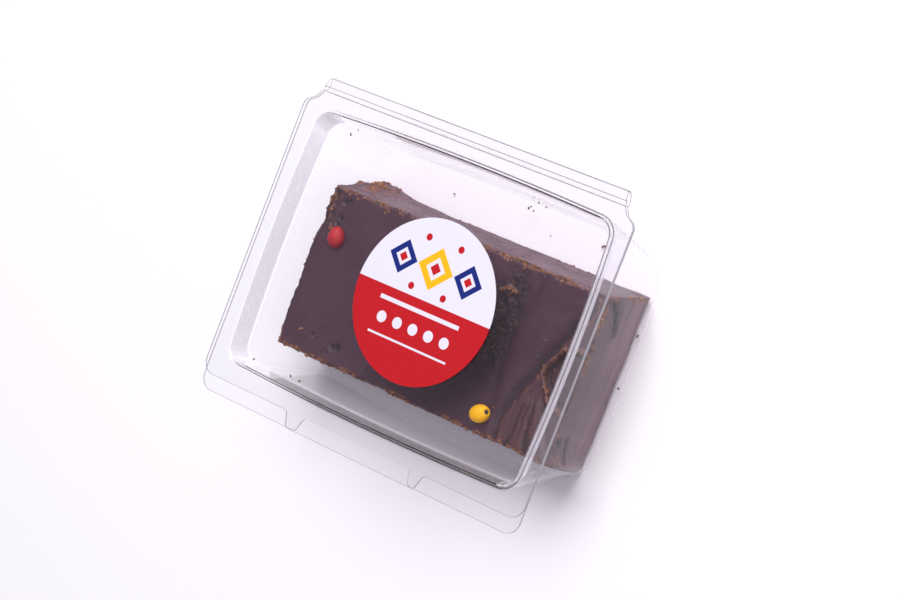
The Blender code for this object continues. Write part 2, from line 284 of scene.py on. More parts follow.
def edit_verts():
    mesh = bmesh.from_edit_mesh(bpy.context.object.data)
    mesh.verts.index_update()
    mesh.verts.ensure_lookup_table()
    return mesh, mesh.verts


def select_verts(indices):
    bpy.ops.mesh.select_all(action="DESELECT")
    mesh, verts = edit_verts()
    for index in indices:
        verts[index].select = True
    mesh.select_flush(True)
    bmesh.update_edit_mesh(bpy.context.object.data)


def place_verts(indices, points):
    verts = edit_verts()[1]
    for index, point in zip(indices, points):
        verts[index].co = point
    bmesh.update_edit_mesh(bpy.context.object.data)


def add_ring(points):
    """A new circle in the mesh, whose points are put in their places."""
    before = len(edit_verts()[1])
    bpy.ops.mesh.primitive_circle_add(vertices=len(points), radius=0.05)
    ring = list(range(before, before + len(points)))
    place_verts(ring, points)
    return ring


def extrude_verts(chain, points):
    """Extrudes the edges along a chain of vertices, and puts the new ones in their places."""
    select_verts(chain)
    bpy.ops.mesh.extrude_edges_move()
    verts = edit_verts()[1]
    made = {}
    for vert in verts:
        if vert.select:
            others = [edge.other_vert(vert) for edge in vert.link_edges]
            made[next(other.index for other in others if not other.select)] = vert.index
    chain = [made[index] for index in chain]
    place_verts(chain, points)
    return chain


def form_sheet(name, rings, outline, fold):
    """One drawn sheet: rings from the flange down to a flat middle, the flange, half the fold."""
    deselect_all()
    bpy.ops.mesh.primitive_circle_add(vertices=len(rings[0]), radius=0.05)
    sheet = bpy.context.object
    sheet.name = name
    bpy.ops.object.mode_set(mode="EDIT")
    outer = list(range(len(rings[0])))
    place_verts(outer, rings[0])
    ring = outer
    for points in rings[1:]:
        ring = extrude_verts(ring, points)
    bpy.ops.mesh.edge_face_add()
    if sum(a.x * b.y - b.x * a.y for a, b in zip(outline, outline[1:] + outline[:1])) < 0:
        outline = outline[::-1]
    edge = add_ring(outline)
    dulled = add_ring(moved_inward(outline, CUT_STRIP))
    select_verts(edge + dulled)
    bpy.ops.mesh.bridge_edge_loops()
    mesh = edit_verts()[0]
    for face in mesh.faces:
        if face.select and face.calc_center_median().y < HINGE_LINE_Y - CUT_STRIP:
            face.material_index = 1
    select_verts(outer + dulled)
    bpy.ops.mesh.fill(use_beauty=True)
    verts = edit_verts()[1]
    ends = [index for index in edge if abs(verts[index].co.y - HINGE_LINE_Y) < 1e-6]
    ends.sort(key=lambda index: verts[index].co.x)
    for y, z in fold:
        inward = (y - HINGE_LINE_Y) * 0.25
        ends = extrude_verts(ends, [
            Vector((-HINGE_HALF_X + inward, y, z)), Vector((HINGE_HALF_X - inward, y, z))])
    bpy.ops.mesh.select_all(action="SELECT")
    bpy.ops.mesh.normals_make_consistent(inside=False)
    mesh = edit_verts()[0]
    if max(mesh.faces, key=lambda face: len(face.verts)).normal.z < 0:
        bpy.ops.mesh.flip_normals()
    bpy.ops.object.mode_set(mode="OBJECT")
    return sheet


def finish_mesh(piece, smooth_angle):
    """Applies the piece's modifiers and shades it smooth up to an angle in degrees."""
    deselect_all()
    bpy.context.view_layer.objects.active = piece
    piece.select_set(True)
    for modifier in list(piece.modifiers):
        bpy.ops.object.modifier_apply(modifier=modifier.name)
    bpy.ops.object.shade_smooth_by_angle(angle=math.radians(smooth_angle))


def give_thickness(sheet, materials):
    """Gives a sheet its wall. A rim takes the slot after its face's, so the cut edge fills two."""
    for material in materials:
        sheet.data.materials.append(material)
    wall = sheet.modifiers.new("wall", "SOLIDIFY")
    wall.thickness = SHEET
    wall.offset = -1.0
    wall.use_even_offset = True
    wall.material_offset_rim = 1
    finish_mesh(sheet, 40)
    # The two halves of the fold are one sheet in the real hinge, so no cut edge shows there
    for face in sheet.data.polygons:
        if face.center.y > FOLD_MEET_Y and abs(face.normal.x) < 0.5:
            face.material_index = 0


def clear_sheet(name, ripples, detail, strength, depth, glass_settings):
    """Clear PET with ripples (swings a metre along X, Y and Z) as deep as the draw left them.

    Lamp light, and light that the fudge and paper scatter, pass straight through so thin a sheet.
    """
    material, tree = new_material(name)
    coordinates = add_node(tree, "TexCoord").outputs["Object"]
    stretched = add_node(tree, "Mapping", {"Vector": coordinates, "Scale": ripples})
    ripple = add_node(tree, "TexNoise", {"Vector": stretched, "Scale": 1.0, "Detail": detail})
    drawn = add_node(tree, "Bump", {"Height": ripple, "Strength": strength, "Distance": depth})
    glass = add_node(tree, "BsdfPrincipled", {"Normal": drawn, **glass_settings})
    let_through = add_node(tree, "BsdfTransparent", {"Color": linear("#fffeff")})
    rays = add_node(tree, "LightPath")
    scattered = add_node(tree, "MixShader", {
        0: rays.outputs["Is Diffuse Ray"], 1: glass, 2: let_through})
    seen = add_node(tree, "MixShader", {
        0: rays.outputs["Is Shadow Ray"], 1: scattered, 2: let_through})
    add_node(tree, "OutputMaterial", {"Surface": seen})
    return material


# Clear PET: glossy and nearly colourless, with a cool cast and hardly a ripple in the flat parts
pet = clear_sheet("clear_PET_sheet", (60.0, 60.0, 60.0), 1.0, 0.05, 0.0002, {
    "Base Color": linear("#fefeff"), "Roughness": 0.03, "IOR": 1.42, "Transmission Weight": 1.0})

# Its die-cut edge: the same PET, rough from the steel rule, and grey so that it reads as a thin
# dark line:
# partly the dull cut, partly painted shade where a clear sheet's edge looks dark
cut_edge = mottled_material("die_cut_PET_edge", 900.0, 2.0, "#9a97a2", "#bebbc5", {
    "Roughness": 0.4, "IOR": 1.5, "Transmission Weight": 0.25})

# Its end walls, which the mould drew deepest, so they are a little wavy from top to foot
tub_wall = clear_sheet("drawn_PET_tub_wall", (130.0, 130.0, 14.0), 2.0, 0.3, 0.0005, {
    "Base Color": linear("#fefeff"), "Roughness": 0.03, "IOR": 1.20, "Transmission Weight": 1.0})

# Its floor and long walls, thinned by the draw, so they mirror less, with fine lines lengthwise.
# They share the end walls' IOR, because rays are caught in the sheet where two IORs meet.
long_wall = clear_sheet("drawn_PET_long_wall", (9.0, 600.0, 600.0), 2.0, 0.2, 0.0002, {
    "Base Color": linear("#fefeff"), "Roughness": 0.03, "IOR": 1.20, "Transmission Weight": 1.0})

half_x = PACK_LENGTH / 2 - TUB_FLANGE_INSET
edge_z = TUB_FLANGE_Z - TUB_FLANGE_DROOP
corner = MOUTH_CORNER + TUB_OFFSET
rings = lip_rings(TUB_OFFSET, corner, TUB_FLANGE_Z, TUB_LIP, TUB_LIP_TURN)
lip_end_z = TUB_FLANGE_Z - TUB_LIP
fillet_z = SHEET + TUB_FILLET
for step in range(1, WALL_STEPS):
    t = step / WALL_STEPS
    rings.append(mouth_ring(
        TUB_OFFSET, corner + (TUB_BASE_CORNER - corner) * t, lip_end_z + (fillet_z - lip_end_z) * t,
        shrink=[draft * t for draft in TUB_DRAFT]))
for step in range(LIP_STEPS + 1):
    angle = math.pi / 2 * step / LIP_STEPS
    inward = TUB_FILLET * (1 - math.cos(angle))
    rings.append(mouth_ring(
        TUB_OFFSET, TUB_BASE_CORNER - inward, fillet_z - TUB_FILLET * math.sin(angle),
        shrink=[draft + inward for draft in TUB_DRAFT]))
rings.append(mouth_ring(
    TUB_OFFSET, TUB_BASE_CORNER - TUB_FILLET - STUB, SHEET,
    shrink=[draft + TUB_FILLET + STUB for draft in TUB_DRAFT]))
outline = flange_outline(half_x, [
    (-half_x, TAB_FRONT_Y, FLANGE_CORNER),
    (-TUB_TAB_INNER_X - TAB_SLANT / 2, TAB_FRONT_Y, TAB_CORNER),
    (-TUB_TAB_INNER_X + TAB_SLANT / 2, FLANGE_FRONT_Y, TAB_CORNER)], edge_z)
fold = [(HINGE_LINE_Y + 0.0006, edge_z - 0.0008), (FOLD_START_Y, edge_z - FOLD_DROP)]
fold += fold_arc(edge_z - FOLD_DROP, -TAB_FRONT_Y - SHEET, FOLD_Z - FOLD_AIR / 2)
tub = form_sheet("tub_sheet", rings, outline, fold)
for face in tub.data.polygons:
    # Between its tabs the tub's edge lies under the lid's tab, where no dull line shows
    if face.material_index == 1 and abs(face.center.x) < TUB_TAB_INNER_X + TAB_SLANT / 2:
        face.material_index = 0
    if face.center.z < lip_end_z - 0.001:
        if abs(face.center.y) < END_WALL_HALF_Y and face.center.z > fillet_z - TUB_FILLET / 2:
            face.material_index = 3
        elif face.center.y > FRONT_WALL_Y or face.center.z < FRONT_WALL_CLEAR_Z:
            face.material_index = 4
give_thickness(tub, [pet, cut_edge, cut_edge, tub_wall, long_wall])
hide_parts("tub")
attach(tub, "base")

# The lid
# The upper half, drawn from the same sheet: a flat flange with one middle tab round a sunk panel,
# and behind the flange a groove and the upper half of the rolled living hinge.

LID_LIP = 0.0009
LID_LIP_TURN = 0.90
PANEL_SINK = 0.0075
PANEL_DRAFT = 0.0012
PANEL_FILLET = 0.0012
LID_TAB_HALF_X = 0.0285
panel_z = PACK_HEIGHT - PANEL_SINK

half_x = PACK_LENGTH / 2
rings = lip_rings(0.0, MOUTH_CORNER, PACK_HEIGHT, LID_LIP, LID_LIP_TURN)
for step in range(LIP_STEPS + 1):
    angle = math.pi / 2 * (0.10 + 0.90 * step / LIP_STEPS)
    inward = PANEL_FILLET * (1 - math.cos(angle)) + PANEL_DRAFT
    rings.append(mouth_ring(
        -inward, MOUTH_CORNER - inward + PANEL_DRAFT,
        panel_z + PANEL_FILLET * (1 - math.sin(angle))))
rings.append(mouth_ring(
    -PANEL_DRAFT - PANEL_FILLET - STUB, MOUTH_CORNER - PANEL_FILLET - STUB, panel_z))
outline = flange_outline(half_x, [
    (-half_x, FLANGE_FRONT_Y, FLANGE_CORNER),
    (-LID_TAB_HALF_X - TAB_SLANT / 2, FLANGE_FRONT_Y, TAB_CORNER),
    (-LID_TAB_HALF_X + TAB_SLANT / 2, TAB_FRONT_Y, TAB_CORNER)], PACK_HEIGHT)
fold = [
    (HINGE_LINE_Y + 0.0004, PACK_HEIGHT - SHEET),
    (FOLD_START_Y - 0.0004, PACK_HEIGHT - SHEET),
    (FOLD_START_Y, PACK_HEIGHT),
]
fold += fold_arc(PACK_HEIGHT, -TAB_FRONT_Y, FOLD_Z + FOLD_AIR / 2)
lid = form_sheet("lid_sheet", rings, outline, fold)

# The same sheet at the recess's two ends, where the mould drew it most: it nests in the tub's
# mouth, so two skins lie close and look brighter, with a faint haze from the draw
drawn_wall = clear_sheet("drawn_PET_wall", (60.0, 60.0, 2500.0), 2.0, 0.25, 0.0002, {
    "Base Color": linear("#fbfaff"), "Roughness": 0.05, "IOR": 1.57, "Transmission Weight": 0.72,
    "Coat Weight": 1.0, "Coat Roughness": 0.05, "Coat IOR": 1.6})
for face in lid.data.polygons:
    at_end = MOUTH_HALF[0] - 0.0070 < abs(face.center.x) < MOUTH_HALF[0] + LID_LIP
    in_mouth = abs(face.center.y - MOUTH_CENTRE_Y) < MOUTH_HALF[1] - 0.0005
    if at_end and in_mouth and panel_z + 0.0003 < face.center.z < PACK_HEIGHT - 0.0003:
        face.material_index = 3
give_thickness(lid, [pet, cut_edge, cut_edge, drawn_wall])
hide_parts("lid")
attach(lid, "lid")

# The label
# A round satin paper sticker on the sunk panel, printed in two fields with a row of plain
# diamonds in the pale one, and stripes with a row of dots in the red one.

LABEL_CENTRE = (0.0007, -0.0009)
LABEL_RADIUS = 0.0274
LABEL_THICKNESS = 0.00015
LABEL_LIFT = 0.0003
LABEL_BANDS = (0.0004, 0.0100, 0.0100)    # rings of faces from the rim in, so it shades flat
FIELD_LINE_Y = 0.0005
DIAMOND_STEP = 0.0135
DIAMOND_ROW_Y = 0.0112
DOT_STEP = 0.0066
DOT_ROW_Y = -0.0095
STRIPE_HALF_LENGTH = 0.0165
PRINT_EDGE = 0.00006
PALE_INK, RED_INK, BLUE_INK, YELLOW_INK = "#e3e0ee", "#bd1c25", "#1b2a78", "#f6b81e"

deselect_all()
bpy.ops.mesh.primitive_circle_add(
    vertices=160, radius=LABEL_RADIUS, fill_type="NGON",
    location=(*LABEL_CENTRE, panel_z + LABEL_LIFT + LABEL_THICKNESS))
label = bpy.context.object
label.name = "label_sticker"
bpy.ops.object.transform_apply(location=True, rotation=False, scale=False)
bpy.ops.object.mode_set(mode="EDIT")
bpy.ops.mesh.select_all(action="SELECT")
for band in LABEL_BANDS:
    bpy.ops.mesh.inset(thickness=band)
bpy.ops.object.mode_set(mode="OBJECT")
wall = label.modifiers.new("paper", "SOLIDIFY")
wall.thickness = LABEL_THICKNESS
wall.offset = -1.0
finish_mesh(label, 40)

# Satin paper with dense inks: flat even colours with crisp edges, and hardly a gloss
print_paper, tree = new_material("printed_satin_paper")
coordinates = add_node(tree, "TexCoord").outputs["Object"]
print_place = add_node(tree, "Mapping", {
    "Vector": coordinates, "Location": (-LABEL_CENTRE[0], -LABEL_CENTRE[1], 0.0),
    "Scale": (1.0, 1.0, 0.0)}).outputs[0]
print_parts = add_node(tree, "SeparateXYZ", {"Vector": print_place})
print_x, print_y = print_parts.outputs[0], print_parts.outputs[1]


def field(tree, value, low, high):
    """1 where a length lies between two bounds, with an edge as soft as printing ink has."""
    rise = add_node(tree, "MapRange", {
        0: value, 1: low - PRINT_EDGE, 2: low + PRINT_EDGE, 3: 0.0, 4: 1.0})
    fall = add_node(tree, "MapRange", {
        0: value, 1: high - PRINT_EDGE, 2: high + PRINT_EDGE, 3: 1.0, 4: 0.0})
    return add_node(tree, "Math", {0: rise, 1: fall}, operation="MULTIPLY")


def diamond(tree, x, y, half):
    offset = add_node(tree, "VectorMath", {0: print_place, 1: (x, y, 0.0)}, operation="SUBTRACT")
    offset = add_node(tree, "VectorMath", {0: offset}, operation="ABSOLUTE")
    reach = add_node(tree, "VectorMath", {0: offset, 1: (1.0, 1.0, 0.0)}, operation="DOT_PRODUCT")
    return field(tree, reach.outputs["Value"], -1.0, half)


def dot(tree, x, y, radius):
    reach = add_node(tree, "VectorMath", {0: print_place, 1: (x, y, 0.0)}, operation="DISTANCE")
    return field(tree, reach.outputs["Value"], -1.0, radius)


# The red field, then what is printed on the two fields, in the order of printing
inks = [(field(tree, print_y, -1.0, FIELD_LINE_Y), RED_INK)]
for step, colour, half in ((-1, BLUE_INK, 0.0058), (0, YELLOW_INK, 0.0072), (1, BLUE_INK, 0.0058)):
    for share, ink_colour in ((1.0, colour), (0.55, PALE_INK), (0.30, RED_INK)):
        inks.append((diamond(tree, step * DIAMOND_STEP, DIAMOND_ROW_Y, half * share), ink_colour))
for x in (-0.0067, 0.0067):
    inks += [(dot(tree, x, y, 0.0012), RED_INK) for y in (0.0200, 0.0034)]
stripe_run = field(tree, print_x, -STRIPE_HALF_LENGTH, STRIPE_HALF_LENGTH)
for low, high in ((-0.0040, -0.0026), (-0.0155, -0.0148)):
    stripe = add_node(tree, "Math", {
        0: field(tree, print_y, low, high), 1: stripe_run}, operation="MULTIPLY")
    inks.append((stripe, PALE_INK))
for step in (-2, -1, 0, 1, 2):
    inks.append((dot(tree, step * DOT_STEP, DOT_ROW_Y, 0.0019), PALE_INK))
ink = add_node(tree, "RGB").outputs[0]
ink.default_value = linear(PALE_INK)
for mask, colour in inks:
    laid = add_node(tree, "Mix", {0: mask, 6: ink, 7: linear(colour)}, data_type="RGBA")
    ink = laid.outputs[2]
fibre = add_node(tree, "TexNoise", {"Vector": coordinates, "Scale": 2500.0, "Detail": 2.0})
raised = add_node(tree, "Bump", {"Height": fibre, "Strength": 0.08, "Distance": 0.00005})
finish = add_node(tree, "BsdfPrincipled", {
    "Base Color": ink, "Roughness": 0.5, "Specular IOR Level": 0.14, "Normal": raised})
add_node(tree, "OutputMaterial", {"Surface": finish})
label.data.materials.append(print_paper)

# Its unprinted back, which shows through the lid's panel when the lid is open
back_paper = mottled_material("sticker_back_paper", 1800.0, 3.0, "#dcd9e2", "#ebe8f1", {
    "Roughness": 0.7, "Specular IOR Level": 0.2})
label.data.materials.append(back_paper)
for face in label.data.polygons:
    face.material_index = 1 if face.normal.z < -0.5 else 0
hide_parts("label")
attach(label, "lid")

# The fudge
# A slab of chocolate fudge, poured and spread, then cut with a knife. Its top is smooth at the
# left and shows a spatula's drag and curl at the right, and its cut edges tear and crumble.

FUDGE_TOP_Z = 0.0255
FUDGE_LOW_Z = 0.00075
FUDGE_TOP = ((-0.0588, -0.0336), (0.0570, -0.0336), (0.0573, 0.0228), (-0.0588, 0.0230))
FUDGE_BASE = ((-0.0574, -0.0348), (0.0556, -0.0344), (0.0562, 0.0264), (-0.0580, 0.0268))
FUDGE_WALL_GAP = 0.0004
FUDGE_FOOT_RISE = 0.0012
SLAB_LENGTH = 0.116
SLAB_WIDTH = 0.0565
SLAB_MIDDLE = (0.0, -0.004)
TOP_CELLS = (288, 144)
SIDE_ROWS = 56


def smooth_step(value, low, high):
    t = min(max((value - low) / (high - low), 0.0), 1.0)
    return t * t * (3 - 2 * t)


def hump(value, middle, width):
    return math.exp(-((value - middle) / width) ** 2)


def swell(x, y, z):
    return noise.noise(Vector((x, y, z)))


def wander(x, y, layer, scale, detail=1):
    """Smooth noise over the slab, one layer of it at a number of swings a metre."""
    spot = Vector((x * scale, y * scale, layer))
    return noise.noise(spot) if detail == 1 else noise.fractal(spot, 0.8, 2.1, detail)


# Lines that the spatula left on the top, each as points (x, y), and how the scooped curl lies
VALLEY = ((0.0540, 0.0215), (0.0517, 0.0149), (0.0482, 0.0069), (0.0443, -0.0002),
          (0.0404, -0.0110), (0.0372, -0.0173), (0.0355, -0.0224), (0.0345, -0.0330))
BAND_EDGE = ((0.0345, 0.0215), (0.0324, 0.0115), (0.0302, 0.0022), (0.0294, -0.0049),
             (0.0307, -0.0129), (0.0316, -0.0211), (0.0322, -0.0330))
CURL_RIM = ((0.0562, 0.0035), (0.0520, 0.0030), (0.0491, 0.0014), (0.0478, -0.0009),
            (0.0459, -0.0029), (0.0448, -0.0057), (0.0452, -0.0083), (0.0467, -0.0107),
            (0.0487, -0.0124), (0.0499, -0.0149), (0.0530, -0.0162), (0.0566, -0.0168))
FLAKE = ((0.0176, 0.0115), (0.0204, 0.0135), (0.0237, 0.0126))
FAN_TIP = (0.0440, -0.0060)


def side_of_line(line, x, y):
    """Distance from a line of points, positive to its right (+X)."""
    best, sign = 1.0, 1.0
    for (x0, y0), (x1, y1) in zip(line, line[1:]):
        run_x, run_y = x1 - x0, y1 - y0
        t = min(max(((x - x0) * run_x + (y - y0) * run_y) / (run_x ** 2 + run_y ** 2), 0.0), 1.0)
        off_x, off_y = x - x0 - run_x * t, y - y0 - run_y * t
        distance = math.hypot(off_x, off_y)
        if distance < best:
            best = distance
            sign = 1.0 if off_x * -run_y + off_y * run_x > 0 else -1.0
    return best * sign


def top_relief(x, y):
    """Height of the top over its plane, how rough, crumbly and brown it is there, and how much
    shade is painted on it.
    """
    rough = crumbly = brown = dark_patches_and_painted_shade = 0.0
    height = wander(x, y, 0, 60) * 0.00028 + wander(x, y, 0.3, 230) * 0.00007
    # A spatula's faint long drags, along the slab
    height += swell(x * 30, y * 260, 7.0) * 0.00005
    if x > 0.014:
        x, y = (
            x + wander(x, y, 2.0, 170) * 0.0008 + wander(x, y, 5.0, 420) * 0.0003,
            y + wander(x, y, 9.0, 170) * 0.0008 + wander(x, y, 11.0, 420) * 0.0003)
        from_valley = side_of_line(VALLEY, x, y)
        from_band = side_of_line(BAND_EDGE, x, y)
        height += 0.00050 * smooth_step(from_band, -0.0030, 0.0030)
        height -= 0.00028 * hump(from_band, -0.0022, 0.0018)
        height -= 0.00150 * hump(from_valley, 0.0, 0.0017)
        height += 0.00085 * hump(from_valley, 0.0024, 0.0011)
        height += 0.00022 * hump(from_valley, -0.0052, 0.0022)
        # Painted shade in the valley and in the dip beside the band's edge
        dark_patches_and_painted_shade = 0.65 * hump(from_valley, -0.0004, 0.0014)
        dark_patches_and_painted_shade = max(dark_patches_and_painted_shade, 0.35 * hump(from_band, -0.0018, 0.0018))
        crest = hump(from_valley, 0.0024, 0.0013)
        height += crest * 0.00012 * swell(from_valley * 2600, y * 60, 1.0)
        brown = max(0.75 * crest, 0.25 * smooth_step(from_valley, 0.0002, 0.0030))
        crumbly = 0.45 * crest * smooth_step(wander(x, y, 3.0, 900, 2), 0.15, 0.55)
        # The curl: a shallow scoop at the slab's end with a thin raised rim
        in_curl = side_of_line(CURL_RIM, x, y)
        height -= 0.00140 * smooth_step(in_curl, -0.0002, 0.0016)
        height += 0.00060 * hump(in_curl, -0.0003, 0.0005)
        height -= 0.00070 * hump(in_curl, 0.0011, 0.0007)
        # Painted shade in the curl's groove and in its scoop
        dark_patches_and_painted_shade = max(dark_patches_and_painted_shade, 0.8 * hump(in_curl, 0.0010, 0.0008))
        dark_patches_and_painted_shade = max(dark_patches_and_painted_shade, 0.35 * smooth_step(in_curl, 0.0002, 0.001))
        rim_crumbs = smooth_step(wander(x, y, 6.0, 800, 2), -0.45, 0.2)
        crumbly = max(crumbly, hump(in_curl, -0.0002, 0.00055) * rim_crumbs)
        # The fan of fine uneven streaks that widens from the curl to the front edge
        reach = math.hypot(x - FAN_TIP[0], y - FAN_TIP[1])
        bearing = math.atan2(x - FAN_TIP[0], FAN_TIP[1] - y)
        fan = smooth_step(reach, 0.008, 0.013)
        fan *= smooth_step(bearing, -0.46, -0.32) * (1 - smooth_step(bearing, 0.30, 0.50))
        streak = swell(bearing * 11, reach * 55, 0.0)
        fine_streak = swell(bearing * 30, reach * 80, 4.0)
        height += fan * (0.00040 + 0.00060 * streak + 0.00022 * fine_streak)
        groove = smooth_step(reach, 0.008, 0.011) * (1 - smooth_step(reach, 0.020, 0.028))
        height -= 0.00090 * hump(bearing, 0.42, 0.07) * groove
        brown = max(brown, fan * (0.35 + 0.45 * max(streak, 0.0)))
        # Painted shade in the fan's low streaks
        dark_patches_and_painted_shade = max(dark_patches_and_painted_shade, fan * 0.9 * smooth_step(-streak - 0.4 * fine_streak, 0.05, 0.40))
        # Torn ground between the label and the smooth band, with shade painted in its hollows, and
        # a flake that stands up, with its shadow painted beside it
        torn = smooth_step(hump(x, 0.0228, 0.0056) * hump(y, 0.0020, 0.0165), 0.08, 0.60)
        rough = torn
        lumps = wander(x, y, 0.7, 330, 4)
        ridges = 1 - 2.2 * abs(wander(x, y, 15.0, 420, 3))
        height += torn * (0.00038 * lumps + 0.00018 * ridges - 0.00045)
        # Painted shade in the torn ground's hollows
        dark_patches_and_painted_shade = max(dark_patches_and_painted_shade, torn * smooth_step(-lumps, -0.45, 0.20))
        crumbly = max(crumbly, torn * 0.5 * smooth_step(ridges, 0.90, 1.0))
        from_flake = abs(side_of_line(FLAKE, x, y))
        height += 0.00080 * hump(from_flake, 0.0, 0.0007)
        crumbly = max(crumbly, 0.8 * hump(from_flake, 0.0, 0.0006))
        # Painted shadow beside the standing flake
        dark_patches_and_painted_shade = max(dark_patches_and_painted_shade, 0.9 * hump(from_flake, 0.0013, 0.0006))
    return height, rough, crumbly, brown, dark_patches_and_painted_shade


# Small pits, dents and a scuff in the smooth part: place, radius and depth
PITS = (
    ((-0.0457, -0.0265), 0.0006, 0.0007), ((-0.0348, -0.0272), 0.0012, 0.0012),
    ((-0.0366, -0.0280), 0.0010, 0.0010), ((-0.0386, -0.0298), 0.0006, 0.0006),
    ((-0.0523, 0.0184), 0.0010, 0.0008), ((-0.0506, 0.0194), 0.0008, 0.0006),
    ((-0.0518, 0.0130), 0.0010, 0.0007), ((-0.0524, 0.0108), 0.0008, 0.0006),
    ((-0.0411, 0.0050), 0.0004, 0.0002), ((-0.0200, -0.0300), 0.0006, 0.0005),
    ((0.0060, -0.0310), 0.0005, 0.0004), ((-0.0300, -0.0150), 0.0004, 0.0003),
    ((-0.0566, 0.0200), 0.0009, 0.0007), ((-0.0400, -0.0310), 0.0005, 0.0005),
)

# Marks on the right end, each as points (y, z), with its width and depth: a torn streak of pits,
# a knife's slit and a pit near the front
END_MARKS = (
    (((0.0216, 0.0226), (0.0200, 0.0202), (0.0184, 0.0184), (0.0160, 0.0168), (0.0127, 0.0157)),
     0.0019, 0.0012),
    (((-0.0241, 0.0179), (-0.0280, 0.0171), (-0.0314, 0.0171)), 0.0009, 0.0010),
    (((-0.0254, 0.0231), (-0.0257, 0.0226)), 0.0012, 0.0012),
)
TORN_CORNER = ((-0.0262, 0.0262), (-0.0300, 0.0225), (-0.0337, 0.0191))


def tub_reach(height):
    """Half-length, half-width and corner radius of the tub's inner face at a height."""
    rise = max(height - fillet_z, 0) / (lip_end_z - fillet_z)
    sunk = min(max(fillet_z - height, 0), TUB_FILLET)
    inward = TUB_FILLET - math.sqrt(TUB_FILLET ** 2 - sunk ** 2)
    half = [
        MOUTH_HALF[axis] + TUB_OFFSET - TUB_DRAFT[axis] * (1 - rise) - inward - MOUTH_BOW
        for axis in (0, 1)]
    return half[0], half[1], TUB_BASE_CORNER - inward


def keep_inside_tub(point):
    """Pushes a point of the slab back from the tub's wall, fillet or rounded corner."""
    reach_x, reach_y, radius = tub_reach(point.z)
    away = Vector((
        max(abs(point.x) - (reach_x - radius), 0),
        max(abs(point.y - MOUTH_CENTRE_Y) - (reach_y - radius), 0)))
    excess = away.length - radius + FUDGE_WALL_GAP
    if excess > 0:
        push = away.normalized() * excess
        point.x -= math.copysign(push.x, point.x)
        point.y -= math.copysign(push.y, point.y - MOUTH_CENTRE_Y)
    return point


def edge_tear(place, depth):
    """How far the cut edge is torn back, at a depth below the top: coarse bites and fine chips."""
    bite = max(noise.fractal(Vector((place.x, place.y, 0.02)) * 190, 0.7, 2.2, 4), 0.0)
    chip = max(noise.fractal(Vector((place.x, place.y, place.z)) * 640, 0.6, 2.2, 3) + 0.1, 0.0)
    return (0.00090 * bite + 0.00060 * chip) * (1 - smooth_step(depth, 0.0004, 0.0026))


